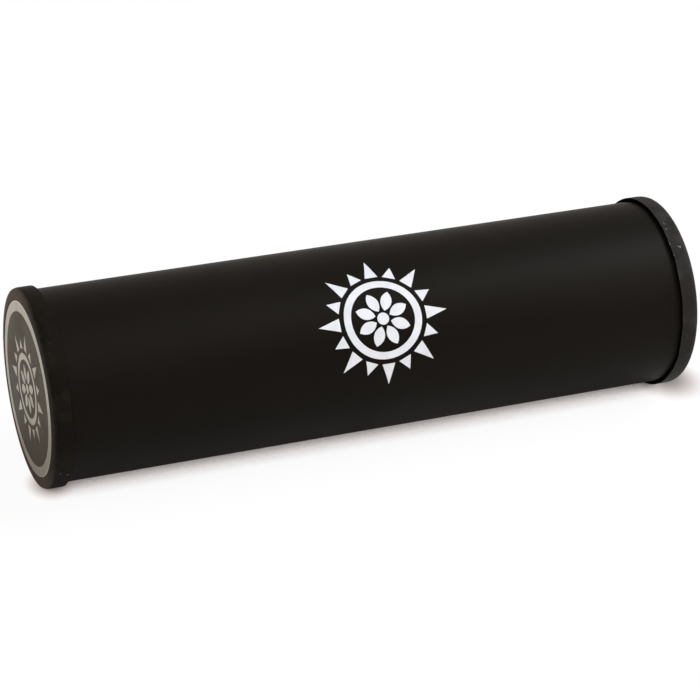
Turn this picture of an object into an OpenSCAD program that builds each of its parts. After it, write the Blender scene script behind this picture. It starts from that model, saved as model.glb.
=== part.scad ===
// Ganza shaker: a closed steel tube with rubber end caps and loose steel shot inside.
// The tube lies along X on the rims of its caps. The origin is on the surface below its middle.

/* [Overall] */
// Length over both end caps, nine inches
overall_length = 228.6; // [170:0.1:290]

/* [Tube] */
// Outside diameter of the tube
tube_d = 64; // [50:0.1:80]
// Wall of the rolled steel sheet
tube_wall = 0.5; // [0.3:0.01:1.2]

/* [End caps] */
// Length of a cap, from its face to the free edge of its skirt
cap_width = 6.4; // [5.2:0.1:12]
// Thickness of the skirt that grips the tube from outside
cap_skirt_t = 1.3; // [0.8:0.05:3]
// Thickness of the end wall
cap_web_t = 2; // [1.6:0.05:4]
// Length of the crown, the gentle curve of the outside towards the face
cap_crown_len = 2.2; // [1:0.1:2.8]
// Radius of that curve
cap_crown_r = 4; // [3:0.1:8]
// Rounding between the crown and the face
cap_edge_r = 0.6; // [0.3:0.05:0.9]
// Width of the rim round the badge, with the rounded edge
cap_rim_w = 4; // [3.2:0.1:7]
// Bevel inside the mouth of the skirt
cap_mouth = 0.35; // [0.2:0.05:0.8]
// Length of the plug that goes into the end disc
cap_plug_len = 4.5; // [3.6:0.1:7]
// Wall of that plug
cap_plug_t = 1.5; // [1:0.05:3]
// Bevel on the outer edge of the plug's free end
cap_plug_bevel = 0.8; // [0.6:0.05:1]
// Height of the grip ribs round the plug
cap_rib_h = 0.3; // [0.2:0.05:0.6]
// Width of one grip rib
cap_rib_w = 0.8; // [0.5:0.05:1]

/* [End discs] */
// Steel sheet of the pressed end disc
disc_t = 0.6; // [0.4:0.05:1.2]
// Inner radius of the bend between its face and its flange
disc_bend_r = 0.6; // [0.3:0.05:0.8]
// Diameter of the stiffening step pressed into its face
disc_step_d = 34; // [24:0.5:44]
// Height of that step
disc_step_h = 0.9; // [0.5:0.05:1.5]

/* [Badges] */
// Aluminium sheet of the round badge
badge_t = 0.6; // [0.4:0.05:0.8]
// Adhesive pad under the badge
pad_t = 0.3; // [0.2:0.05:0.4]
// How far the pad's edge stays inside the badge's edge
pad_inset = 1.5; // [0.5:0.1:4]
// Width of the bare metal ring round the dark middle
badge_ring_w = 3.6; // [2:0.1:6]
// Radius of the sunburst on the badge
badge_motif_r = 20; // [12:0.5:23]
// Dark ink on the badge
badge_ink_t = 0.05; // [0.03:0.01:0.1]

/* [Side print] */
// Radius of the white sunburst on the tube, measured along the surface
print_r = 22.6; // [14:0.1:28]
// Where the middle of the print is, in degrees from the top of the tube towards the front
print_angle = 56; // [30:1:80]
// White ink on the tube
print_ink_t = 0.06; // [0.04:0.01:0.12]

/* [Shot] */
// Diameter of one steel ball
shot_d = 4; // [3:0.1:5]
// Balls in each row of the lower layer
lower_count = 24; // [8:1:26]
// Balls in each row of the upper layer
upper_count = 17; // [6:1:20]
// Gap from a ball to the wall of the tube
shot_wall_gap = 0.15; // [0.1:0.01:0.3]
// Least gap between two balls
shot_gap = 0.12; // [0.08:0.01:0.3]

/* [Hidden] */
$fn = 96;
// Gap of a pressed or glued seat, on the radius or between two faces
seat_gap = 0.05;
// How far the badge lies below the rim that protects it
badge_drop = 0.05;
// Rounding of the free edge of the skirt
skirt_edge_r = 0.35;
// How far cutting shapes run past what they cut
overrun = 1;

// Distances along the tube, from its middle
half_length = overall_length / 2;
cap_inner = half_length - cap_web_t;
skirt_start = half_length - cap_width;
tube_end = cap_inner - seat_gap;
plug_end = cap_inner - cap_plug_len;
disc_face = plug_end - seat_gap;
chamber_end = disc_face - disc_t;
badge_face = half_length - badge_drop;
badge_seat = badge_face - badge_t - pad_t;

// Radii round the tube's axis
tube_r = tube_d / 2;
bore_r = tube_r - tube_wall;
cap_r = tube_r + cap_skirt_t;
disc_r = bore_r - seat_gap;
flange_r = disc_r - disc_t;
plug_r = flange_r - seat_gap - cap_rib_h;
badge_r = cap_r - cap_rim_w;
pad_r = badge_r - pad_inset;
recess_r = badge_r + seat_gap;

// Height of the tube's axis above the surface that it lies on
axis_z = cap_r;

// Places of the two grip ribs, as shares of the plug's length from the end wall
rib_shares = [0.25, 0.62];

// The sunburst, in shares of its radius
ray_count = 16;
ray_inner_share = 0.67;
ray_short_share = 0.87;
ray_width_share = 0.1;
ring_outer_share = 0.6;
ring_inner_share = 0.49;
petal_count = 8;
petal_inner_share = 0.12;
petal_outer_share = 0.425;
petal_width_share = 0.085;
petal_fullness = 0.75;
hub_share = 0.09;
petal_steps = 8;
circle_steps = 48;

// The bed of shot: rows along the tube, in two layers, each in a lane of its own
lower_rows = 7;
upper_rows = 4;
shot_pitch = shot_d + shot_gap;
lower_lane_r = bore_r - shot_wall_gap - shot_d / 2;
upper_lane_r = lower_lane_r - shot_pitch * sin(60);
lane_step = 2 * asin(shot_pitch / 2 / upper_lane_r);
// Most room that two neighbours in a row leave, as a share of a ball
spread_share = 0.16;
spread_seed = 7;
// How far the middle of each row lies from the middle of the tube, in shares of a ball
lower_shift_shares = [1.5, -2, 0.5, -1, 2, -0.5, 1];
upper_shift_shares = [0.5, -1, 1, -0.5];
loose_shift_share = 3;

// Turns a shape made round Z onto the tube's axis, so that +Z becomes +X
module on_axis() {
    translate([0, 0, axis_z]) rotate([0, 90, 0]) children();
}

// The same for one end: the shape is made for the right end and mirrored for the left one
module at_end(side) {
    mirror([side == "left" ? 1 : 0, 0, 0]) on_axis() children();
}

module tube() {
    color([0.11, 0.105, 0.1])
    on_axis() difference() {
        cylinder(h = 2 * tube_end, r = tube_r, center = true);
        cylinder(h = 2 * (tube_end + overrun), r = bore_r, center = true);
    }
}

// Half sections have the radius along X and the distance from the tube's middle along Y
module cap_outline() {
    // the crown's arc runs into the rounding of the face at this angle from the radius
    edge_angle = asin((cap_crown_len - cap_edge_r) / (cap_crown_r - cap_edge_r));
    crown = [cap_r - cap_crown_r, half_length - cap_crown_len];
    edge = [crown.x + (cap_crown_r - cap_edge_r) * cos(edge_angle), half_length - cap_edge_r];
    square([cap_r, crown.y]);
    square([edge.x, half_length]);
    translate(edge) circle(r = cap_edge_r);
    intersection() {
        translate(crown) circle(r = cap_crown_r);
        square([cap_r, edge.y + cap_edge_r * sin(edge_angle)]);
    }
}

// Everything on the tube's side of the free edge of the skirt, but for the plug
module below_skirt() {
    translate([plug_r, -overrun]) square([cap_r + overrun - plug_r, skirt_start + overrun]);
    // rounding of the free edge
    difference() {
        translate([cap_r - skirt_edge_r, 0]) square([skirt_edge_r + overrun, skirt_start + skirt_edge_r]);
        translate([cap_r - skirt_edge_r, skirt_start + skirt_edge_r]) circle(r = skirt_edge_r);
    }
    // bevel of the mouth
    mouth_r = tube_r + seat_gap;
    mouth_top = skirt_start + cap_mouth;
    polygon([[mouth_r, skirt_start], [mouth_r + cap_mouth, skirt_start], [mouth_r, mouth_top]]);
}

// Everything on the tube's side of the end wall that isn't the skirt or the plug
module below_wall() {
    // room for the disc's flange and the tube
    translate([plug_r, -overrun]) square([tube_r + seat_gap - plug_r, cap_inner + overrun]);
    // hollow of the plug
    translate([0, -overrun]) square([plug_r - cap_plug_t, cap_inner + overrun]);
    // the plug's free end, with its bevel
    translate([0, -overrun]) square([plug_r + overrun, plug_end + overrun]);
    polygon([[plug_r - cap_plug_bevel, plug_end], [plug_r, plug_end], [plug_r, plug_end + cap_plug_bevel]]);
}

module cap_section() {
    difference() {
        cap_outline();
        below_skirt();
        below_wall();
        translate([0, badge_seat]) square([recess_r, half_length + overrun - badge_seat]);
    }
    for (share = rib_shares)
        translate([plug_r - cap_plug_t / 2, cap_inner - share * cap_plug_len - cap_rib_w / 2])
            square([cap_plug_t / 2 + cap_rib_h, cap_rib_w]);
}

module end_cap(side) {
    color([0.07, 0.07, 0.072]) at_end(side) rotate_extrude() cap_section();
}

// Half section of a flat-bottomed solid cup that opens away from the tube's middle
module cup_outline(r, bottom, bend_r) {
    translate([0, bottom]) square([r - bend_r, tube_end + overrun - bottom]);
    translate([0, bottom + bend_r]) square([r, tube_end + overrun - bottom - bend_r]);
    translate([r - bend_r, bottom + bend_r]) circle(r = bend_r);
}

// Pressed steel cup that closes the tube, its flat face to the shot and its flange to the cap
module end_disc(side) {
    step_r = disc_step_d / 2;
    color([0.62, 0.62, 0.62])
    at_end(side) rotate_extrude() difference() {
        cup_outline(disc_r, chamber_end, disc_bend_r + disc_t);
        difference() {
            cup_outline(flange_r, disc_face, disc_bend_r);
            // the step stands up on the cap's side
            square([step_r + disc_t, disc_face + disc_step_h]);
        }
        // and is hollow on the shot's side
        square([step_r, chamber_end + disc_step_h]);
        translate([0, tube_end]) square([disc_r + overrun, 2 * overrun]);
    }
}

module badge_pad(side) {
    color([0.85, 0.85, 0.82])
    at_end(side) translate([0, 0, badge_seat]) cylinder(h = pad_t, r = pad_r);
}

module badge(side) {
    color([0.72, 0.71, 0.69])
    at_end(side) translate([0, 0, badge_seat + pad_t]) cylinder(h = badge_t - badge_ink_t, r = badge_r);
}

module badge_ink(side) {
    color([0.24, 0.22, 0.21])
    at_end(side) translate([0, 0, badge_face - badge_ink_t]) linear_extrude(badge_ink_t) difference() {
        circle(r = badge_r - badge_ring_w);
        flat_sunburst(badge_motif_r);
    }
}

// Outlines of the sunburst for a radius of 1
function turned(points, angle) =
    [for (p = points) [p.x * cos(angle) - p.y * sin(angle), p.x * sin(angle) + p.y * cos(angle)]];
function circle_outline(share) =
    [for (i = [0:circle_steps - 1]) turned([[share, 0]], 360 * i / circle_steps)[0]];
function ray_outline(i) =
    let (tip = i % 2 == 0 ? 1 : ray_short_share,
         foot = [ray_inner_share, ray_width_share])
    turned([[foot.x, -foot.y], [tip, 0], foot], 360 * i / ray_count);
function petal_outline(i) =
    let (span = petal_outer_share - petal_inner_share,
         edge = [for (k = [0:petal_steps]) let (t = k / petal_steps)
             [petal_inner_share + span * t, petal_width_share * pow(sin(180 * t), petal_fullness)]],
         back = [for (k = [petal_steps - 1:-1:1]) edge[k]])
    turned(concat([for (p = edge) [p.x, -p.y]], back), 360 * (i + 0.5) / petal_count);

module flat_sunburst(size) {
    for (i = [0:ray_count - 1]) polygon(ray_outline(i) * size);
    for (i = [0:petal_count - 1]) polygon(petal_outline(i) * size);
    difference() {
        circle(r = ring_outer_share * size);
        circle(r = ring_inner_share * size);
    }
    circle(r = hub_share * size);
}

// An outline bent round the tube: lengths along Y run along the surface, so it narrows in plan
function wrapped(points) = [for (p = points) [p.x, tube_r * sin(p.y / tube_r * 180 / PI)]];
module printed(outline) {
    linear_extrude(tube_r + overrun) polygon(wrapped(outline * print_r));
}

module side_print() {
    color([0.92, 0.93, 0.95])
    translate([0, 0, axis_z]) rotate([print_angle, 0, 0]) intersection() {
        rotate([0, 90, 0]) difference() {
            cylinder(h = 2 * (print_r + overrun), r = tube_r + print_ink_t, center = true);
            cylinder(h = 2 * (print_r + 2 * overrun), r = tube_r, center = true);
        }
        union() {
            for (i = [0:ray_count - 1]) printed(ray_outline(i));
            for (i = [0:petal_count - 1]) printed(petal_outline(i));
            difference() {
                printed(circle_outline(ring_outer_share));
                printed(circle_outline(ring_inner_share));
            }
            printed(circle_outline(hub_share));
        }
    }
}

// Distances from a row's first ball to each of its balls
function row_places(count, seed) =
    let (spare = rands(0, spread_share * shot_d, count, seed))
    [for (i = 0, x = 0; i < count; x = x + shot_pitch + spare[i], i = i + 1) x];

// Balls in one lane, which is counted round the tube from the lowest one
module shot_row(count, lane, lane_r, shift_share, seed) {
    places = row_places(count, seed);
    start = shift_share * shot_d - places[count - 1] / 2;
    angle = lane * lane_step;
    color([0.6, 0.6, 0.62])
    for (x = places)
        translate([start + x, lane_r * sin(angle), axis_z - lane_r * cos(angle)])
            sphere(d = shot_d, $fn = 48);
}

module lower_row(i) {
    shot_row(lower_count, i - (lower_rows + 1) / 2, lower_lane_r, lower_shift_shares[i - 1],
             spread_seed + i);
}

module upper_row(i) {
    shot_row(upper_count, i - (upper_rows + 1) / 2, upper_lane_r, upper_shift_shares[i - 1],
             spread_seed + lower_rows + i);
}

// One ball beside the bed
module loose_ball() {
    shot_row(1, (lower_rows + 1) / 2, lower_lane_r, loose_shift_share, spread_seed);
}

tube();
side_print();
loose_ball();
for (side = ["left", "right"]) {
    end_disc(side);
    end_cap(side);
    badge_pad(side);
    badge(side);
    badge_ink(side);
}
for (i = [1:lower_rows])
    lower_row(i);
for (i = [1:upper_rows])
    upper_row(i);
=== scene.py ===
import math

import bmesh
import bpy
from bpy.props import FloatProperty, FloatVectorProperty, IntProperty, PointerProperty
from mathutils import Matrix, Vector
from mathutils.noise import noise


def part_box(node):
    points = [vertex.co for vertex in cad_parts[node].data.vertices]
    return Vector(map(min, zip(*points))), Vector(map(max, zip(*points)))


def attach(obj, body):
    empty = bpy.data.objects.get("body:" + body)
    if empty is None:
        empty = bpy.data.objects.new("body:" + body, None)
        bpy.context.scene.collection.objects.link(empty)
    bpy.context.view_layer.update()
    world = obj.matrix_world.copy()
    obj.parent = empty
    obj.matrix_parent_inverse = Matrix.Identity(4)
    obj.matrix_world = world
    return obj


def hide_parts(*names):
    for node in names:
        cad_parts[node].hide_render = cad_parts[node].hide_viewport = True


bl_info = {
    "name": "Ganza Shaker",
    "version": (1, 0, 0),
    "blender": (4, 5, 0),
    "location": "3D View > Sidebar > Shaker",
    "description": "Dresses a tube shaker with rubber caps, round badges, a printed sunburst and steel shot",
    "category": "Object",
}

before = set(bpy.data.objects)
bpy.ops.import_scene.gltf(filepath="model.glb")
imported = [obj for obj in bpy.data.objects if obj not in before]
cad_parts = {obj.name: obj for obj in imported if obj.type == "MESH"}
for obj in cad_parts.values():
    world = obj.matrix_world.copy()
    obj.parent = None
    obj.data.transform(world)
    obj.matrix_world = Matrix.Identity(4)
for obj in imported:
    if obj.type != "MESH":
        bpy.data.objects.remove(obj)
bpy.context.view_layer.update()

MM = 0.001
MICRON = 0.001 * MM

# Places of the solids, which everything here follows. The tube lies along X.
SIDES = {"left": -1, "right": 1}
TUBE_LOW, TUBE_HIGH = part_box("tube")
CAP_LOW, CAP_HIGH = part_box("right_end_cap")
BADGE_LOW, BADGE_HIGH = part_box("right_badge")
DISC_LOW, DISC_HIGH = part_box("right_end_disc")
RECESS_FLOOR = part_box("right_badge_pad")[0].x
AXIS_Z = (CAP_LOW.z + CAP_HIGH.z) / 2
HALF_LENGTH = CAP_HIGH.x
TUBE_END = TUBE_HIGH.x
CAP_R = (CAP_HIGH.z - CAP_LOW.z) / 2
TUBE_R = (TUBE_HIGH.z - TUBE_LOW.z) / 2
BADGE_R = (BADGE_HIGH.z - BADGE_LOW.z) / 2
DISC_R = (DISC_HIGH.z - DISC_LOW.z) / 2

# A turned piece's half section is swept along a circle of this radius, and reaches in from it
PATH_R = 1.0
# Points closer than this are welded, and edges that turn by more than the angle stay sharp
WELD = 0.002 * MM
SHARP_ANGLE = math.radians(32)


def length_property(name, description, default, low):
    return FloatProperty(name=name, description=description, default=default, min=low, unit="LENGTH")


def share_property(name, description, default, high=1.0):
    return FloatProperty(
        name=name, description=description, default=default, min=0, max=high, subtype="FACTOR")


def number_property(name, description, default, low=0.0):
    return FloatProperty(name=name, description=description, default=default, min=low)


def colour_property(name, description, default):
    return FloatVectorProperty(
        name=name, description=description, default=default, size=3, min=0, max=1, subtype="COLOR")


def lengths_property(name, description, default):
    """A place along X, Y and Z, or along X and Y, or a width and height"""
    return FloatVectorProperty(
        name=name, description=description, default=default, size=len(default), unit="LENGTH")


class ShakerSizes(bpy.types.PropertyGroup):
    """Sizes that the solids' boxes don't give"""

    tube_wall: length_property("Tube Wall", "Steel sheet of the tube", 0.5 * MM, 0.3 * MM)
    tube_bevel: length_property("Tube Bevel", "Bevel on the tube's cut ends", 0.08 * MM, 0.01 * MM)
    paint_depth: length_property(
        "Paint Depth", "How far below the tube's outside a face is still painted", 0.1 * MM, 0.01 * MM)
    crown_length: length_property(
        "Crown Length", "Length of the gentle curve of a cap's outside towards its face", 2.2 * MM, 1 * MM)
    crown_radius: length_property("Crown Radius", "Radius of that curve", 4 * MM, 3 * MM)
    cap_edge: length_property(
        "Cap Edge", "Rounding between a cap's crown and its face", 0.6 * MM, 0.2 * MM)
    rim_fall: length_property(
        "Rim Fall", "How far the rim of the face falls away from the badge to its edge", 0.4 * MM, 0.05 * MM)
    recess_edge: length_property(
        "Recess Edge", "Rounding of the rim towards the badge's recess", 0.25 * MM, 0.05 * MM)
    cap_width: length_property("Cap Width", "Length of a cap along the tube", 6.4 * MM, 5 * MM)
    cap_wall: length_property("Cap Wall", "Thickness of a cap's end wall", 2 * MM, 1.6 * MM)
    cap_plug: length_property("Cap Plug", "Wall of the plug inside a cap", 1.5 * MM, 1 * MM)
    plug_bevel: length_property("Plug Bevel", "Bevel on the plug's free end", 0.8 * MM, 0.4 * MM)
    rib_height: length_property("Rib Height", "Height of a grip rib on the plug", 0.3 * MM, 0.1 * MM)
    rib_width: length_property("Rib Width", "Width of a grip rib on the plug", 0.8 * MM, 0.4 * MM)
    rib_places: FloatVectorProperty(
        name="Rib Places", description="Where the two ribs stand, as shares of the plug from the end wall",
        default=(0.25, 0.62), size=2, min=0, max=1)
    mouth_relief: length_property(
        "Mouth Relief", "Gap between the skirt and the tube at the mouth", 0.4 * MM, 0.1 * MM)
    mouth_depth: length_property(
        "Mouth Depth", "Depth of the relief inside the skirt", 2 * MM, 0.5 * MM)
    skirt_edge: length_property(
        "Skirt Edge", "Rounding of the skirt's free edge", 0.25 * MM, 0.1 * MM)
    skirt_wave: length_property(
        "Skirt Wave", "Unevenness of the skirt's trimmed edge", 0.2 * MM, 0)
    seat_gap: length_property("Seat Gap", "Gap of a pressed or glued seat", 0.05 * MM, 0.01 * MM)
    disc_sheet: length_property("Disc Sheet", "Steel sheet of an end disc", 0.6 * MM, 0.4 * MM)
    badge_edge: length_property(
        "Badge Edge", "Rounding of a badge's rolled front edge", 0.4 * MM, 0.02 * MM)
    segments: IntProperty(
        name="Segments", description="Facets round each turned piece", default=256, min=64, max=512)


class ShakerColours(bpy.types.PropertyGroup):
    """Colours of the finishes, linear"""

    paint: colour_property("Tube Paint", "Satin black paint", (0.0030, 0.0024, 0.0018))
    paint_dust: colour_property("Paint Dust", "Dust and hairlines on the paint", (0.055, 0.052, 0.048))
    rubber: colour_property("Cap Rubber", "Dull black rubber", (0.0110, 0.0086, 0.0062))
    # partly painted light: besides dust, this colour lightens the whole right cap, which the lamp on the
    # right lights more
    cap_dust_and_light: colour_property("Cap Dust", "Dust on the right cap", (0.033, 0.031, 0.029))
    # painted reflection: this brownish tone on the rims of the faces stands in for their sheen
    cap_rim_sheen: colour_property("Cap Rim", "Brownish bloom on a cap's rim", (0.09, 0.064, 0.048))
    cap_worn: colour_property("Cap Worn", "Rubber where its edges are rubbed", (0.07, 0.064, 0.057))
    cap_scuff: colour_property("Cap Scuff", "White scuffs on the rubber", (0.35, 0.34, 0.33))
    badge_metal: colour_property("Badge Metal", "Satin aluminium", (0.321, 0.305, 0.272))
    badge_ink: colour_property("Badge Ink", "Dark ink of the badge", (0.050, 0.036, 0.020))
    badge_pinhole: colour_property("Badge Pinhole", "Metal in the ink's pinholes", (0.3, 0.29, 0.27))
    print_ink: colour_property("Side Print", "White screen print", (0.71, 0.71, 0.735))
    print_pinhole: colour_property("Print Pinhole", "Paint in the print's pinholes", (0.05, 0.05, 0.05))
    steel: colour_property("Steel", "Bare steel sheet and shot", (0.46, 0.45, 0.44))
    rust: colour_property("Rust", "Rust on the bare steel", (0.16, 0.085, 0.045))
    adhesive: colour_property("Adhesive", "Foam pad under a badge", (0.72, 0.71, 0.66))


class ShakerStudio(bpy.types.PropertyGroup):
    """The floor, the lamps and the camera"""

    floor_size: length_property("Floor Size", "Side of the square floor", 8, 1)
    floor_glow: share_property(
        "Floor Glow", "Share of plain white that the camera sees in the floor", 0.94)
    gloss_glow: share_property(
        "Gloss Glow", "Share of plain white that gloss and metal see in the floor", 0.38)
    floor_colour: colour_property("Floor Colour", "Matt part of the floor", (0.96, 0.93, 0.9))
    floor_gloss_colour: colour_property(
        "Floor Gloss Colour", "White of the floor as gloss and metal see it", (1, 0.92, 0.83))
    shadow_colour: colour_property(
        "Shadow Colour", "Tint of the floor where its shadow is deepest", (1, 0.89, 0.855))
    sky_reach: length_property(
        "Sky Reach", "How far the contact shadow looks for what covers the sky", 0.3, 0.01)
    sky_exposure: number_property(
        "Sky Exposure", "How far the open floor is lit past white", 6.15, 1)
    sky_contrast: number_property(
        "Sky Contrast", "How steeply the contact shadow fades", 1.4, 0.1)
    left_reach: length_property(
        "Left Reach", "How far along X the oval shadow under the left end reaches", 0.0088, 0.005)
    left_shift: lengths_property(
        "Left Shift", "Where that shadow's middle lies, from the end's lowest point", (0.0042, -0.0054))
    left_shade: share_property("Left Shade", "Share of the light that the left oval takes away", 0.65)
    right_reach: length_property(
        "Right Reach", "How far along X the oval shadow under the right end reaches", 0.0152, 0.005)
    right_shift: lengths_property(
        "Right Shift", "Where that shadow's middle lies, from the end's lowest point", (0.0031, -0.0032))
    right_shade: share_property("Right Shade", "Share of the light that the right oval takes away", 0.8)
    end_stretch: number_property(
        "End Stretch", "How many times wider across the tube the ovals are than along it", 1.5, 0.5)
    end_core: share_property(
        "End Core", "Share of their reach over which the ovals are evenly dark", 0.12, 0.9)
    world_colour: colour_property("World Colour", "Light from all round on matt surfaces", (1, 0.97, 0.94))
    world_strength: number_property("World Strength", "Strength of that light", 0.35)
    wall_colour: colour_property(
        "Wall Colour", "Walls that gloss and metal mirror above the floor", (1, 0.92, 0.82))
    wall_strength: number_property("Wall Strength", "Brightness of those walls", 0.62)
    key_place: lengths_property("Key Place", "Middle of the main soft lamp", (1.55, -0.25, 1.45))
    key_size: lengths_property("Key Size", "Width and height of that lamp", (1.1, 0.8))
    key_power: number_property("Key Power", "Power of that lamp in watts", 44)
    key_colour: colour_property("Key Colour", "Colour of that lamp", (0.86, 0.93, 1.0))
    low_place: lengths_property("Low Place", "Middle of the small lamp near the floor", (0.42, -0.24, 0.17))
    low_target: lengths_property("Low Target", "Point that this lamp faces", (0.12, 0, 0.01))
    low_size: lengths_property("Low Size", "Width and height of that lamp", (0.2, 0.12))
    low_power: number_property("Low Power", "Power of that lamp in watts", 0.35)
    low_colour: colour_property("Low Colour", "Colour of that lamp", (1.0, 0.98, 0.95))
    fill_place: lengths_property("Fill Place", "Point from which the even light shines", (-0.8, -1.9, 2.1))
    fill_spread: FloatProperty(
        name="Fill Spread", description="How wide the even light seems", default=math.radians(60),
        min=0, max=math.pi, subtype="ANGLE")
    fill_strength: number_property("Fill Strength", "Strength of the even light", 0.9)
    fill_colour: colour_property("Fill Colour", "Colour of the even light", (1.0, 0.99, 0.98))
    camera_place: lengths_property("Camera Place", "Where the lens is", (-0.29107, -0.75248, 0.40081))
    camera_forward: FloatVectorProperty(
        name="Camera Forward", description="Direction in which the lens looks",
        default=(0.32610, 0.84736, -0.41910), size=3, subtype="DIRECTION")
    camera_start: length_property("Camera Start", "How far off the camera starts to see", 0.01, 0.001)
    focal_length: number_property("Focal Length", "Lens of the camera, in millimetres", 133.98, 10)
    sensor: number_property("Sensor", "Width of the camera's sensor, in millimetres", 36, 10)


def dimmed(colour, share):
    """The colour darkened to a share of it, or lightened by a share over 1"""
    return tuple(part * share for part in colour)


class Number:
    """A number in a node tree. Arithmetic on it adds Math nodes."""

    def __init__(self, graph, socket):
        self.graph = graph
        self.socket = socket

    def math(self, operation, *others):
        return self.graph.math(operation, self, *others)

    def __add__(self, other):
        return self.math("ADD", other)

    def __sub__(self, other):
        return self.math("SUBTRACT", other)

    def __rsub__(self, other):
        return self.graph.math("SUBTRACT", other, self)

    def __mul__(self, other):
        return self.math("MULTIPLY", other)

    def __truediv__(self, other):
        return self.math("DIVIDE", other)

    def __gt__(self, other):
        return self.math("GREATER_THAN", other)

    def __lt__(self, other):
        return self.math("LESS_THAN", other)

    __radd__ = __add__
    __rmul__ = __mul__


class Graph:
    """Adds nodes to a material's, a world's or a Geometry Nodes tree"""

    def __init__(self, tree):
        self.tree = tree
        tree.nodes.clear()

    def node(self, kind, settings=None, sockets=None):
        """A node of that type. Its settings are set first, then the values or links of its sockets."""
        made = self.tree.nodes.new(kind)
        for name, value in (settings or {}).items():
            setattr(made, name, value)
        for key, value in (sockets or {}).items():
            value = value.socket if isinstance(value, Number) else value
            if isinstance(value, bpy.types.NodeSocket):
                self.tree.links.new(value, made.inputs[key])
            else:
                made.inputs[key].default_value = value
        return made

    def math(self, operation, *values):
        made = self.node("ShaderNodeMath", {"operation": operation}, dict(enumerate(values)))
        return Number(self, made.outputs[0])

    def smooth(self, value, start, end, low=0.0, high=1.0):
        """The low value below the start, the high one over the end, and a smooth step between"""
        made = self.node(
            "ShaderNodeMapRange", {"interpolation_type": "SMOOTHSTEP"},
            {"Value": value, "From Min": start, "From Max": end, "To Min": low, "To Max": high})
        return Number(self, made.outputs["Result"])

    def near(self, value, middle, start, end):
        """1 within one distance of the middle, 0 beyond the other, and a smooth step between"""
        return self.smooth((value - middle).math("ABSOLUTE"), start, end, 1, 0)

    def point(self):
        """The point on the piece, in its own coordinates"""
        return self.node("ShaderNodeTexCoord").outputs["Object"]

    def axes(self, point):
        """The point's x, y and height over the tube's axis"""
        parts = self.node("ShaderNodeSeparateXYZ", {}, {0: point})
        x, y, z = (Number(self, parts.outputs[i]) for i in range(3))
        return x, y, z - AXIS_Z

    def from_axis(self, y, z):
        """The distance from the tube's axis"""
        return (y * y + z * z).math("SQRT")

    def rays(self):
        """Whether the camera sees the point, straight or through glass, and whether gloss mirrors it"""
        ray = self.node("ShaderNodeLightPath").outputs
        seen = Number(self, ray["Is Camera Ray"]).math("MAXIMUM", Number(self, ray["Is Transmission Ray"]))
        return seen, Number(self, ray["Is Glossy Ray"])

    def noise(self, point, scale, detail=2.0, roughness=0.5, finer=None):
        """Noise of about that many cells a metre, and so many times finer along each axis"""
        if finer:
            point = self.node("ShaderNodeMapping", {}, {"Vector": point, "Scale": finer}).outputs[0]
        made = self.node(
            "ShaderNodeTexNoise", {},
            {"Vector": point, "Scale": scale, "Detail": detail, "Roughness": roughness})
        return Number(self, made.outputs[0])

    def cells(self, point, scale):
        """The distance from the middle of the nearest cell, of about that many cells a metre"""
        made = self.node("ShaderNodeTexVoronoi", {}, {"Vector": point, "Scale": scale})
        return Number(self, made.outputs["Distance"])

    def mix(self, factor, first, second):
        """A colour between two, each a tuple or a socket"""
        made = self.node("ShaderNodeMix", {"data_type": "RGBA"}, {"Factor": factor})
        # the node has inputs for each type of data, and the colours are its inputs 6 and 7
        for index, colour in ((6, first), (7, second)):
            if isinstance(colour, bpy.types.NodeSocket):
                self.tree.links.new(colour, made.inputs[index])
            else:
                made.inputs[index].default_value = (*colour, 1.0)
        return made.outputs[2]

    def shades(self, factor, colour, first, second):
        """A colour between two shades of one colour, each a share of it"""
        return self.mix(factor, dimmed(colour, first), dimmed(colour, second))

    def bump(self, layers):
        """Normals from layers of (height, depth in metres), the first one lowest"""
        normal = None
        for height, depth in layers:
            sockets = {"Height": height, "Distance": depth}
            if normal:
                sockets["Normal"] = normal
            normal = self.node("ShaderNodeBump", {}, sockets).outputs[0]
        return normal


def start_material(name, **constants):
    """A material with one Principled shader, its graph, and a function that links what varies"""
    material = bpy.data.materials.new(name)
    material.use_nodes = True
    graph = Graph(material.node_tree)
    sockets = {key.replace("_", " "): value for key, value in constants.items()}
    shader = graph.node("ShaderNodeBsdfPrincipled", {}, sockets)
    graph.node("ShaderNodeOutputMaterial", {}, {"Surface": shader.outputs[0]})

    def vary(**links):
        for key, value in links.items():
            value = value.socket if isinstance(value, Number) else value
            graph.tree.links.new(value, shader.inputs[key.replace("_", " ")])

    return material, graph, vary


def paint_material():
    """Satin black paint: fine orange peel, hand polish towards the middle, hairlines and a little dust"""
    colours = bpy.context.scene.shaker_colours
    material, graph, vary = start_material(
        "tube_paint", Specular_IOR_Level=0.09, IOR=1.5, Specular_Tint=(1.0, 0.87, 0.74, 1.0))
    point = graph.point()
    x = graph.axes(point)[0]
    clouds = graph.noise(point, 22, detail=3)
    tone = graph.shades(graph.smooth(clouds, 0.3, 0.7), colours.paint, 0.86, 1.16)
    # hairlines run along the tube, and show only here and there
    along = graph.noise(point, 60, detail=3, roughness=0.6, finer=(1, 55, 55))
    across = graph.noise(point, 60, finer=(60, 1, 1))
    hairs = graph.near(along, 0.5, 0.0, 0.006) * graph.smooth(across, 0.6, 0.7)
    dust = graph.smooth(graph.noise(point, 1500, detail=1), 0.74, 0.79) * graph.smooth(clouds, 0.5, 0.65)
    marks = (hairs * 0.3 + dust * 0.35).math("MINIMUM", 1.0)
    handled = graph.near(x, 0.0, 20 * MM, 90 * MM) * graph.smooth(graph.noise(point, 45), 0.35, 0.65)
    peel = graph.noise(point, 620)
    grain = graph.noise(point, 3200, detail=1)
    vary(
        Base_Color=graph.mix(marks, tone, colours.paint_dust),
        Roughness=0.48 + (clouds - 0.5) * 0.08 - handled * 0.05 + marks * 0.1,
        Normal=graph.bump([(peel, 6 * MICRON), (grain, 1.6 * MICRON)]),
    )
    return material


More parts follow.
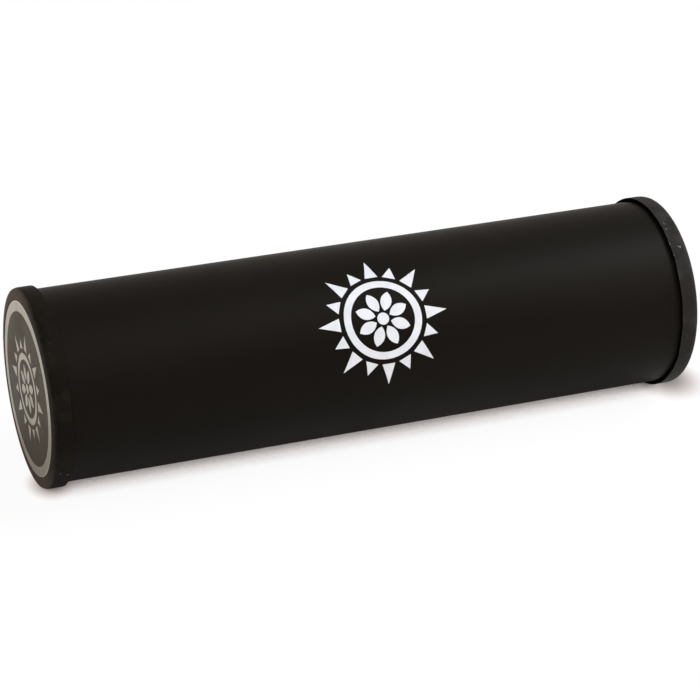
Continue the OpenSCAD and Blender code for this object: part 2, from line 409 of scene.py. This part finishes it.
def rubber_material():
    """Dull black rubber: fine mould texture, pale bloom, rubbed edges and a few white scuffs, with a painted
    sheen on the faces' rims and the right cap painted lighter
    """
    colours = bpy.context.scene.shaker_colours
    sizes = bpy.context.scene.shaker_sizes
    material, graph, vary = start_material(
        "cap_rubber", Specular_IOR_Level=0.05, IOR=1.5, Specular_Tint=(1.0, 0.86, 0.74, 1.0))
    point = graph.point()
    x, y, z = graph.axes(point)
    radius = graph.from_axis(y, z)
    end = x.math("ABSOLUTE")
    left = x < 0.0
    right = x > 0.0
    # angles round the tube in radians, from the top towards the front
    turn = (0.0 - y).math("ARCTAN2", z)
    front_shade_turn = 1.25
    knocked_turn = 0.62
    bloom = graph.smooth(graph.noise(point, 130, detail=4, roughness=0.6), 0.42, 0.72)
    tone = graph.shades(bloom, colours.rubber, 0.5, 1.0)
    # the right cap is dusty, and is also painted lighter all over, as painted light from the lamp on the
    # right
    tone = graph.mix(right * (0.42 + bloom * 0.5), tone, colours.cap_dust_and_light)
    # a painted sheen on the rims of the faces: brownish on the left face and painted darker as shade on its
    # front, and less of it on the right one
    front_shade = graph.near(turn, front_shade_turn, 0.7, 1.5) * 0.95
    cover = 0.45 + left * (0.55 - front_shade)
    rim = graph.smooth(end, HALF_LENGTH - 2 * sizes.cap_edge, HALF_LENGTH - sizes.cap_edge)
    tone = graph.mix(rim * (0.6 + bloom * 0.4) * cover, tone, colours.cap_rim_sheen)
    # rubber rubs off at the free edge of the right skirt, and a little at the edge of both faces
    broken = graph.smooth(graph.noise(point, 420, detail=3, roughness=0.65), 0.4, 0.62)
    skirt_edge = graph.near(end, HALF_LENGTH - sizes.cap_width, 0.1 * MM, 0.5 * MM)
    skirt_edge = skirt_edge * (radius > CAP_R - 0.3 * MM)
    outside = radius > CAP_R - 2 * sizes.cap_edge
    face_edge = graph.near(end, HALF_LENGTH - sizes.cap_edge, 0.1 * MM, 0.9 * MM) * outside
    rub = (skirt_edge * broken * right * 0.4 + face_edge * broken * 0.1).math("MINIMUM", 1.0)
    worn = graph.mix(rub, tone, colours.cap_worn)
    # knocks on the outside, most of them high on the front of the right cap
    specks = graph.smooth(graph.noise(point, 900, detail=2, roughness=0.6), 0.66, 0.72)
    knocked = graph.smooth(graph.noise(point, 38, detail=1), 0.62, 0.72) * 0.5
    spot = graph.near(turn, knocked_turn, 0.1, 0.42) * right
    scuff = specks * (knocked + spot).math("MINIMUM", 1.0) * outside * 0.6
    flow = graph.noise(point, 240)
    grain = graph.noise(point, 2600)
    vary(
        Base_Color=graph.mix(scuff, worn, colours.cap_scuff),
        Roughness=0.52 + bloom * 0.12 + rub * 0.1,
        Normal=graph.bump([(flow, 10 * MICRON), (grain, 5 * MICRON)]),
    )
    return material


def shaded_cut_rubber_material():
    """Trimmed rubber of the skirt's end, dead matt and painted dark as shade where the skirt meets the tube
    """
    colour = bpy.context.scene.shaker_colours.rubber
    material, graph, vary = start_material("cap_cut_rubber_painted_shade", Specular_IOR_Level=0.05, IOR=1.08)
    crumbs = graph.noise(graph.point(), 900, detail=3, roughness=0.6)
    vary(
        Base_Color=graph.shades(graph.smooth(crumbs, 0.4, 0.7), colour, 0.18, 0.55),
        Roughness=0.8 + (crumbs - 0.5) * 0.2,
        Normal=graph.bump([(crumbs, 30 * MICRON)]),
    )
    return material


def brush_lines(graph, point):
    """Fine level lines across a badge, left by brushing its metal"""
    return graph.noise(point, 70, detail=3, roughness=0.6, finer=(1, 1, 70))


def badge_metal_material():
    """Satin aluminium with brush lines across the badge, small dull spots and a painted highlight on its
    rolled edge
    """
    colour = bpy.context.scene.shaker_colours.badge_metal
    material, graph, vary = start_material(
        "badge_aluminium", Metallic=1.0, Specular_Tint=(0.96, 0.93, 0.88, 1.0))
    point = graph.point()
    brush = brush_lines(graph, point)
    dull = graph.smooth(graph.noise(point, 150, detail=3, roughness=0.6), 0.45, 0.75)
    tone = graph.shades(graph.smooth(brush, 0.3, 0.7), colour, 0.9, 1.08)
    tone = graph.mix(dull * 0.3, tone, dimmed(colour, 0.72))
    # the rolled edge is painted bright, as a painted highlight
    edge = bpy.context.scene.shaker_sizes.badge_edge
    y, z = graph.axes(point)[1:]
    rubbed = graph.smooth(graph.from_axis(y, z), BADGE_R - 1.2 * edge, BADGE_R - 0.8 * edge)
    vary(
        Base_Color=graph.mix(rubbed, tone, dimmed(colour, 1.9)),
        Roughness=0.27 + (brush - 0.5) * 0.1 + dull * 0.08,
        Normal=graph.bump([(brush, 3 * MICRON)]),
    )
    return material


def badge_ink_material():
    """Dark printed ink, satin, with fine brush lines showing through and pinholes"""
    colours = bpy.context.scene.shaker_colours
    material, graph, vary = start_material(
        "badge_ink", Specular_IOR_Level=0.2, IOR=1.15, Specular_Tint=(1.0, 0.84, 0.67, 1.0))
    point = graph.point()
    brush = brush_lines(graph, point)
    streaks = graph.smooth(brush, 0.35, 0.65)
    clouds = graph.noise(point, 110, detail=3, roughness=0.6)
    blotches = graph.smooth(clouds, 0.35, 0.68)
    tone = graph.shades(blotches * 0.7 + streaks * 0.3, colours.badge_ink, 0.72, 1.35)
    holes = graph.smooth(graph.noise(point, 2300, detail=1), 0.76, 0.8)
    vary(
        Base_Color=graph.mix(holes * 0.6, tone, colours.badge_pinhole),
        Roughness=0.36 + (blotches - 0.5) * 0.1 + (streaks - 0.5) * 0.06,
        Normal=graph.bump([(brush, 2.2 * MICRON), (clouds, 4 * MICRON)]),
    )
    return material


def print_material():
    """White screen-print ink: slightly uneven cover, soft gloss and a few pinholes"""
    colours = bpy.context.scene.shaker_colours
    material, graph, vary = start_material("print_white", Specular_IOR_Level=0.4, IOR=1.45)
    point = graph.point()
    cover = graph.noise(point, 260, detail=4, roughness=0.6)
    tone = graph.shades(graph.smooth(cover, 0.3, 0.7), colours.print_ink, 0.93, 1.03)
    holes = graph.smooth(graph.noise(point, 2600, detail=1), 0.77, 0.8)
    grain = graph.noise(point, 3000, detail=1)
    vary(
        Base_Color=graph.mix(holes * 0.55, tone, colours.print_pinhole),
        Roughness=0.42 + (cover - 0.5) * 0.12,
        Normal=graph.bump([(cover, 6 * MICRON), (grain, 1.5 * MICRON)]),
    )
    return material


def steel_material(name, roughness, turned):
    """Bare steel: rolled or turned marks, dull stains and a trace of rust"""
    colours = bpy.context.scene.shaker_colours
    material, graph, vary = start_material(name, Metallic=1.0)
    point = graph.point()
    stains = graph.noise(point, 75, detail=4, roughness=0.6)
    if turned:
        # fine rings round the axis
        x, y, z = graph.axes(point)
        rings = graph.node("ShaderNodeCombineXYZ", {}, {"X": graph.from_axis(y, z), "Y": x})
        lines = graph.noise(rings.outputs[0], 2400)
    else:
        lines = graph.noise(point, 900)
    tone = graph.shades(graph.smooth(stains, 0.35, 0.7), colours.steel, 0.82, 1.1)
    rust = graph.smooth(stains, 0.68, 0.8) * 0.5
    vary(
        Base_Color=graph.mix(rust, tone, colours.rust),
        Roughness=roughness + (lines - 0.5) * 0.12 + rust * 0.3,
        Normal=graph.bump([(lines, 2 * MICRON)]),
    )
    return material


def adhesive_material():
    """Closed-cell foam of the adhesive pad"""
    colour = bpy.context.scene.shaker_colours.adhesive
    material, graph, vary = start_material("badge_adhesive", Specular_IOR_Level=0.3)
    point = graph.point()
    cells = graph.cells(point, 3500)
    stains = graph.noise(point, 160, detail=3)
    vary(
        Base_Color=graph.shades(graph.smooth(stains, 0.4, 0.8), colour, 1.0, 0.8),
        Roughness=0.7 + (stains - 0.5) * 0.1,
        Normal=graph.bump([(cells, 30 * MICRON)]),
    )
    return material


def end_shadow(graph, studio, x, y, middle, reach, shade):
    """The share of light that an oval shadow on the floor leaves, darkest round its middle"""
    along = x - middle[0]
    across = (y - middle[1]) / studio.end_stretch
    from_middle = (along * along + across * across).math("SQRT")
    return graph.smooth(from_middle, reach * studio.end_core, reach, 1 - shade, 1)


def floor_material():
    """Plain white floor, shaded where the tube hides the sky and by an oval shadow under each end"""
    studio = bpy.context.scene.shaker_studio
    material = bpy.data.materials.new("studio_floor")
    material.use_nodes = True
    graph = Graph(material.node_tree)
    seen, glossy = graph.rays()
    glow = seen * studio.floor_glow + glossy * studio.gloss_glow
    # the camera sees the floor burnt out to white, and gloss sees it as it is
    exposure = 1.0 + seen * (studio.sky_exposure - 1.0)
    sky = graph.node("ShaderNodeAmbientOcclusion", {"samples": 16}, {"Distance": studio.sky_reach})
    open_sky = Number(graph, sky.outputs["AO"])
    lit = (open_sky * exposure).math("POWER", studio.sky_contrast).math("MINIMUM", 1.0)
    x, y = graph.axes(graph.point())[:2]
    ovals = (
        (-HALF_LENGTH, studio.left_shift, studio.left_reach, studio.left_shade),
        (HALF_LENGTH, studio.right_shift, studio.right_reach, studio.right_shade))
    for end, shift, reach, shade in ovals:
        lit = lit * end_shadow(graph, studio, x, y, (end + shift[0], shift[1]), reach, shade)
    # the shadow is faintly warm where it is deep
    shaded = graph.mix(lit * lit * lit, studio.shadow_colour, (1, 1, 1))
    tone = graph.mix(seen, studio.floor_gloss_colour, shaded)
    white = graph.node("ShaderNodeEmission", {}, {"Color": tone, "Strength": lit})
    matt = graph.node("ShaderNodeBsdfDiffuse", {}, {"Color": (*studio.floor_colour, 1)})
    mixed = graph.node("ShaderNodeMixShader", {}, {0: glow, 1: matt.outputs[0], 2: white.outputs[0]})
    graph.node("ShaderNodeOutputMaterial", {}, {"Surface": mixed.outputs[0]})
    return material


def arc(middle, radius, start, end, steps):
    """Points of an arc in a half section, (distance from the axis, distance along it), angles in degrees"""
    angles = [math.radians(start + (end - start) * i / steps) for i in range(steps + 1)]
    return [(middle[0] + radius * math.cos(a), middle[1] + radius * math.sin(a)) for a in angles]


def turning_tree():
    """Turns a half section, drawn as edges across and along the tube's axis, into a whole piece"""
    tree = bpy.data.node_groups.new("turned_piece", "GeometryNodeTree")
    tree.interface.new_socket("Geometry", in_out="INPUT", socket_type="NodeSocketGeometry")
    kinds = {"Segments": "Int", "Axis Height": "Float", "Weld": "Float", "Finish": "Material"}
    for name, kind in kinds.items():
        tree.interface.new_socket(name, in_out="INPUT", socket_type="NodeSocket" + kind)
    tree.interface.new_socket("Geometry", in_out="OUTPUT", socket_type="NodeSocketGeometry")
    graph = Graph(tree)
    given = graph.node("NodeGroupInput").outputs
    section = graph.node("GeometryNodeMeshToCurve", {}, {"Mesh": given["Geometry"]})
    path = graph.node(
        "GeometryNodeCurvePrimitiveCircle", {}, {"Resolution": given["Segments"], "Radius": PATH_R})
    upright = graph.node("GeometryNodeSetCurveNormal", {"mode": "Z_UP"}, {"Curve": path.outputs["Curve"]})
    swept = graph.node(
        "GeometryNodeCurveToMesh", {},
        {"Curve": upright.outputs["Curve"], "Profile Curve": section.outputs["Curve"]})
    welded = graph.node(
        "GeometryNodeMergeByDistance", {}, {"Geometry": swept.outputs["Mesh"], "Distance": given["Weld"]})
    lift = graph.node("ShaderNodeCombineXYZ", {}, {"Z": given["Axis Height"]})
    laid = graph.node("GeometryNodeTransform", {}, {
        "Geometry": welded.outputs["Geometry"],
        "Translation": lift.outputs[0],
        "Rotation": (0, math.pi / 2, 0)})
    smooth = graph.node("GeometryNodeSetShadeSmooth", {}, {"Geometry": laid.outputs["Geometry"]})
    whole = graph.node("GeometryNodeRealizeInstances", {}, {"Geometry": smooth.outputs["Geometry"]})
    dressed = graph.node(
        "GeometryNodeSetMaterial", {}, {"Geometry": whole.outputs["Geometry"], "Material": given["Finish"]})
    graph.node("NodeGroupOutput", {}, {0: dressed.outputs["Geometry"]})
    return tree


def turning_tree_once():
    """The turning tree, which is built at its first use"""
    return bpy.data.node_groups.get("turned_piece") or turning_tree()


def run_tree(name, source, tree, values):
    """The plain mesh that a Geometry Nodes tree makes of a source mesh"""
    maker = bpy.data.objects.new(name + "_maker", source)
    bpy.context.scene.collection.objects.link(maker)
    modifier = maker.modifiers.new("Shape", "NODES")
    modifier.node_group = tree
    inputs = {item.name: item.identifier for item in tree.interface.items_tree if item.in_out == "INPUT"}
    for key, value in values.items():
        modifier[inputs[key]] = value
    maker.update_tag()
    bpy.context.view_layer.update()
    evaluated = maker.evaluated_get(bpy.context.evaluated_depsgraph_get())
    mesh = bpy.data.meshes.new_from_object(evaluated)
    bpy.data.objects.remove(maker)
    bpy.data.meshes.remove(source)
    mesh.name = name
    return mesh


def turned_mesh(name, outline, finish, side=1, closed=False):
    """A mesh turned from an outline of (distance from the axis, distance from the tube's middle)"""
    count = len(outline)
    edges = [(i, i + 1) for i in range(count - 1)] + ([(count - 1, 0)] if closed else [])
    section = bpy.data.meshes.new(name + "_section")
    section.from_pydata([(radius - PATH_R, side * x, 0.0) for radius, x in outline], edges, [])
    mesh = run_tree(name, section, turning_tree_once(), {
        "Segments": bpy.context.scene.shaker_sizes.segments,
        "Axis Height": AXIS_Z,
        "Weld": WELD,
        "Finish": finish})
    shape = bmesh.new()
    shape.from_mesh(mesh)
    bmesh.ops.recalc_face_normals(shape, faces=shape.faces)
    if shape.calc_volume(signed=True) < 0:
        bmesh.ops.reverse_faces(shape, faces=shape.faces)
    shape.to_mesh(mesh)
    shape.free()
    mesh.set_sharp_from_angle(angle=SHARP_ANGLE)
    return mesh


def add_piece(name, mesh, body, replaced):
    """Puts a finished mesh in the scene, on its body and in place of the solids that it stands for"""
    piece = bpy.data.objects.new(name, mesh)
    bpy.context.scene.collection.objects.link(piece)
    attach(piece, body)
    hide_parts(*replaced)


def finish_faces(mesh, material, chosen):
    """Gives a second finish to the faces that pass a test on their distances from the axis and the middle"""
    mesh.materials.append(material)
    for face in mesh.polygons:
        radius = math.hypot(face.center.y, face.center.z - AXIS_Z)
        if chosen(radius, abs(face.center.x)):
            face.material_index = len(mesh.materials) - 1


def finish_solid(node, material):
    """Gives a carried-over solid its finish"""
    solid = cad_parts[node]
    solid.data.materials.clear()
    solid.data.materials.append(material)


def tube_outline(sizes):
    """Half section of the tube's wall, a closed ring of points with its cut ends bevelled"""
    bore = TUBE_R - sizes.tube_wall
    bevel = sizes.tube_bevel
    half = [
        (bore, 0), (bore, TUBE_END - bevel), (bore + bevel, TUBE_END),
        (TUBE_R - bevel, TUBE_END), (TUBE_R, TUBE_END - bevel), (TUBE_R, 0)]
    return half + [(radius, -x) for radius, x in half[-2:0:-1]]


def rib_points(sizes, radius, inner):
    """The plug's outside from the end wall to its free end, with its two grip ribs"""
    points = []
    half = sizes.rib_width / 2
    top = radius + sizes.rib_height
    soft = sizes.rib_height / 3
    for share in sizes.rib_places:
        middle = inner - share * (inner - CAP_LOW.x)
        points += [
            (radius, middle + half), (top - soft, middle + half), (top, middle + half - soft),
            (top, middle - half + soft), (top - soft, middle - half), (radius, middle - half)]
    return points


def cap_outline(sizes):
    """Half section of a cap, from the axis on its outside to the axis on its inside"""
    inner = HALF_LENGTH - sizes.cap_wall
    skirt = HALF_LENGTH - sizes.cap_width
    recess = BADGE_R + sizes.seat_gap
    mouth = TUBE_R + sizes.seat_gap
    flange = DISC_R - sizes.disc_sheet
    plug = flange - sizes.seat_gap - sizes.rib_height
    bore = plug - sizes.cap_plug
    lip, edge, free, bevel = sizes.recess_edge, sizes.cap_edge, sizes.skirt_edge, sizes.plug_bevel
    relief, depth = sizes.mouth_relief, sizes.mouth_depth
    # three arcs that run into each other: the crown, the rounding at the face's edge and the domed rim
    fall = sizes.rim_fall
    crown_reach = sizes.crown_radius - edge
    crown_turn = math.asin((sizes.crown_length - edge - fall) / crown_reach)
    crown = (CAP_R - sizes.crown_radius, HALF_LENGTH - sizes.crown_length)
    corner = (crown[0] + crown_reach * math.cos(crown_turn), HALF_LENGTH - edge - fall)
    across = corner[0] - recess - lip
    dome_radius = (across ** 2 + fall ** 2 + 2 * edge * fall) / (2 * fall)
    dome_turn = math.acos(across / (dome_radius - edge))
    crown_turn, dome_turn = math.degrees(crown_turn), math.degrees(dome_turn)
    return (
        [(0, RECESS_FLOOR), (recess, RECESS_FLOOR)]
        + arc((recess + lip, HALF_LENGTH - lip), lip, 180, 90, steps=4)
        + arc((recess + lip, HALF_LENGTH - dome_radius), dome_radius, 90, dome_turn, steps=6)
        + arc(corner, edge, dome_turn, crown_turn, steps=6)
        + arc(crown, sizes.crown_radius, crown_turn, 0, steps=8)
        + arc((CAP_R - free, skirt + free), free, 0, -90, steps=6)
        + [(mouth + relief, skirt), (mouth + relief, skirt + depth), (mouth, skirt + depth + relief)]
        + [(mouth, inner), (plug, inner)]
        + rib_points(sizes, plug, inner)
        + [(plug, CAP_LOW.x + bevel), (plug - bevel, CAP_LOW.x), (bore, CAP_LOW.x), (bore, inner)]
        + [(0, inner)])


def badge_outline(sizes):
    """Half section of a badge plate, its front edge rolled over"""
    back, front = BADGE_LOW.x, BADGE_HIGH.x
    edge = sizes.badge_edge
    rolled = arc((BADGE_R - edge, front - edge), edge, 0, 90, steps=8)
    return [(0, back), (BADGE_R, back)] + rolled + [(0, front)]


class SHAKER_OT_tube(bpy.types.Operator):
    """Make the painted tube, bare steel inside and at its cut ends"""

    bl_idname = "shaker.tube"
    bl_label = "Tube"

    def execute(self, context):
        sizes = context.scene.shaker_sizes
        mesh = turned_mesh("tube_shell", tube_outline(sizes), paint_material(), closed=True)
        bare = steel_material("tube_bore_steel", roughness=0.4, turned=False)
        finish_faces(mesh, bare, lambda radius, x: radius < TUBE_R - sizes.paint_depth)
        add_piece("tube_shell", mesh, "shaker", ["tube"])
        return {"FINISHED"}


class SHAKER_OT_caps(bpy.types.Operator):
    """Make the two rubber end caps"""

    bl_idname = "shaker.caps"
    bl_label = "End Caps"

    def execute(self, context):
        sizes = context.scene.shaker_sizes
        rubber, cut_shade = rubber_material(), shaded_cut_rubber_material()
        skirt = HALF_LENGTH - sizes.cap_width
        for name, side in SIDES.items():
            mesh = turned_mesh(name + "_cap", cap_outline(sizes), rubber, side)
            # the skirt's cut end and the relief in its mouth get the rubber painted dark, as painted shade
            # where the cap meets the tube
            finish_faces(mesh, cut_shade, lambda radius, x: (
                TUBE_R < radius < CAP_R - 0.1 * sizes.skirt_edge and x < skirt + sizes.mouth_depth))
            self.trim_skirt(mesh, side, sizes)
            add_piece(name + "_cap", mesh, "shaker", [name + "_end_cap"])
        return {"FINISHED"}

    def trim_skirt(self, mesh, side, sizes):
        """Makes the free edge of the skirt a little uneven, as trimmed rubber is"""
        skirt = HALF_LENGTH - sizes.cap_width
        for vertex in mesh.vertices:
            spot = Vector((0, vertex.co.y, vertex.co.z - AXIS_Z))
            share = 1 - (abs(vertex.co.x) - skirt) / sizes.mouth_depth
            if spot.length < TUBE_R or share <= 0:
                continue
            # a slow wave and a finer one on top, not the same on the two caps
            around = spot.normalized()
            slow = noise(around * 4 + Vector((side * 5, 0, 0)))
            fine = noise(around * 17 + Vector((side, 0, 0)))
            vertex.co.x += side * share * sizes.skirt_wave * (slow + 0.7 * fine)


class SHAKER_OT_badges(bpy.types.Operator):
    """Make the badge plates, and finish their ink and their adhesive pads"""

    bl_idname = "shaker.badges"
    bl_label = "Badges"

    def execute(self, context):
        metal, ink, adhesive = badge_metal_material(), badge_ink_material(), adhesive_material()
        outline = badge_outline(context.scene.shaker_sizes)
        for name, side in SIDES.items():
            mesh = turned_mesh(name + "_badge_plate", outline, metal, side)
            add_piece(name + "_badge_plate", mesh, "shaker", [name + "_badge"])
            finish_solid(name + "_badge_ink", ink)
            finish_solid(name + "_badge_pad", adhesive)
        return {"FINISHED"}


class SHAKER_OT_side_print(bpy.types.Operator):
    """Finish the white sunburst on the tube"""

    bl_idname = "shaker.side_print"
    bl_label = "Side Print"

    def execute(self, context):
        finish_solid("side_print", print_material())
        return {"FINISHED"}


class SHAKER_OT_inside(bpy.types.Operator):
    """Finish the pressed end discs and the loose shot"""

    bl_idname = "shaker.inside"
    bl_label = "Discs and Shot"

    def execute(self, context):
        sheet = steel_material("disc_steel", roughness=0.36, turned=True)
        for name in SIDES:
            finish_solid(name + "_end_disc", sheet)
        balls = steel_material("shot_steel", roughness=0.22, turned=False)
        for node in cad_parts:
            if node.startswith("shot_row") or node == "loose_ball":
                finish_solid(node, balls)
        return {"FINISHED"}


def hang_lamp(data, place, target, strength, colour):
    """Puts a lamp in its place, facing its target"""
    data.energy = strength
    data.color = colour
    lamp = bpy.data.objects.new(data.name, data)
    lamp.location = place
    lamp.rotation_euler = (Vector(target) - Vector(place)).to_track_quat("-Z", "Y").to_euler()
    bpy.context.scene.collection.objects.link(lamp)


def add_softbox(name, place, target, size, power, colour):
    """A soft rectangular lamp"""
    data = bpy.data.lights.new(name, "AREA")
    data.shape = "RECTANGLE"
    data.size, data.size_y = size
    hang_lamp(data, place, target, power, colour)


def add_sun(name, place, target, spread, strength, colour):
    """An even light from afar, which seems as wide as its spread"""
    data = bpy.data.lights.new(name, "SUN")
    data.angle = spread
    hang_lamp(data, place, target, strength, colour)


class SHAKER_OT_studio(bpy.types.Operator):
    """Set up the white floor, the soft lamps, the world and the camera"""

    bl_idname = "shaker.studio"
    bl_label = "Studio"

    def execute(self, context):
        studio = context.scene.shaker_studio
        self.add_floor(studio)
        self.light_world(context.scene, studio)
        middle = (0, 0, AXIS_Z)
        add_softbox(
            "key_softbox", studio.key_place, middle, studio.key_size, studio.key_power, studio.key_colour)
        add_softbox(
            "low_softbox", studio.low_place, studio.low_target, studio.low_size, studio.low_power,
            studio.low_colour)
        add_sun(
            "front_fill", studio.fill_place, middle, studio.fill_spread, studio.fill_strength,
            studio.fill_colour)
        self.add_camera(context.scene, studio)
        context.scene.view_settings.view_transform = "Standard"
        return {"FINISHED"}

    def add_floor(self, studio):
        half = studio.floor_size / 2
        corners = [(-half, -half, 0), (half, -half, 0), (half, half, 0), (-half, half, 0)]
        mesh = bpy.data.meshes.new("floor")
        mesh.from_pydata(corners, [], [(0, 1, 2, 3)])
        mesh.materials.append(floor_material())
        floor = bpy.data.objects.new("floor", mesh)
        bpy.context.scene.collection.objects.link(floor)

    def light_world(self, scene, studio):
        """White behind the shaker, warm walls for what gloss mirrors, and a dim light on matt surfaces"""
        world = bpy.data.worlds.new("studio_world")
        scene.world = world
        world.use_nodes = True
        graph = Graph(world.node_tree)
        seen, glossy = graph.rays()

        def background(colour, strength):
            sockets = {"Color": (*colour, 1), "Strength": strength}
            return graph.node("ShaderNodeBackground", {}, sockets).outputs[0]

        fill = background(studio.world_colour, studio.world_strength)
        wall = background(studio.wall_colour, studio.wall_strength)
        white = background((1, 1, 1), 1.0)
        mixed = graph.node("ShaderNodeMixShader", {}, {0: glossy, 1: fill, 2: wall})
        mixed = graph.node("ShaderNodeMixShader", {}, {0: seen, 1: mixed.outputs[0], 2: white})
        graph.node("ShaderNodeOutputWorld", {}, {"Surface": mixed.outputs[0]})

    def add_camera(self, scene, studio):
        """The photo's view, as fitted to its outlines"""
        data = bpy.data.cameras.new("camera")
        data.sensor_fit = "HORIZONTAL"
        data.sensor_width = studio.sensor
        data.lens = studio.focal_length
        data.clip_start = studio.camera_start
        camera = bpy.data.objects.new("camera", data)
        scene.collection.objects.link(camera)
        camera.location = studio.camera_place
        camera.rotation_euler = studio.camera_forward.to_track_quat("-Z", "Y").to_euler()
        scene.camera = camera


class SHAKER_PT_panel(bpy.types.Panel):
    """Lists the steps that dress the shaker, and what they use"""

    bl_label = "Ganza Shaker"
    bl_idname = "SHAKER_PT_panel"
    bl_space_type = "VIEW_3D"
    bl_region_type = "UI"
    bl_category = "Shaker"

    def draw(self, context):
        for operator in OPERATORS:
            self.layout.operator(operator.bl_idname)
        for group_name in GROUPS:
            group = getattr(context.scene, group_name)
            box = self.layout.box()
            for name in group.__annotations__:
                box.prop(group, name)


GROUPS = {"shaker_sizes": ShakerSizes, "shaker_colours": ShakerColours, "shaker_studio": ShakerStudio}
OPERATORS = (
    SHAKER_OT_tube, SHAKER_OT_caps, SHAKER_OT_badges,
    SHAKER_OT_side_print, SHAKER_OT_inside, SHAKER_OT_studio)
CLASSES = (*GROUPS.values(), *OPERATORS, SHAKER_PT_panel)


def register():
    for cls in CLASSES:
        bpy.utils.register_class(cls)
    for name, cls in GROUPS.items():
        setattr(bpy.types.Scene, name, PointerProperty(type=cls))


def unregister():
    for name in GROUPS:
        delattr(bpy.types.Scene, name)
    for cls in reversed(CLASSES):
        bpy.utils.unregister_class(cls)


def main():
    register()
    bpy.ops.shaker.tube()
    bpy.ops.shaker.caps()
    bpy.ops.shaker.badges()
    bpy.ops.shaker.side_print()
    bpy.ops.shaker.inside()
    bpy.ops.shaker.studio()


if __name__ == "__main__":
    main()
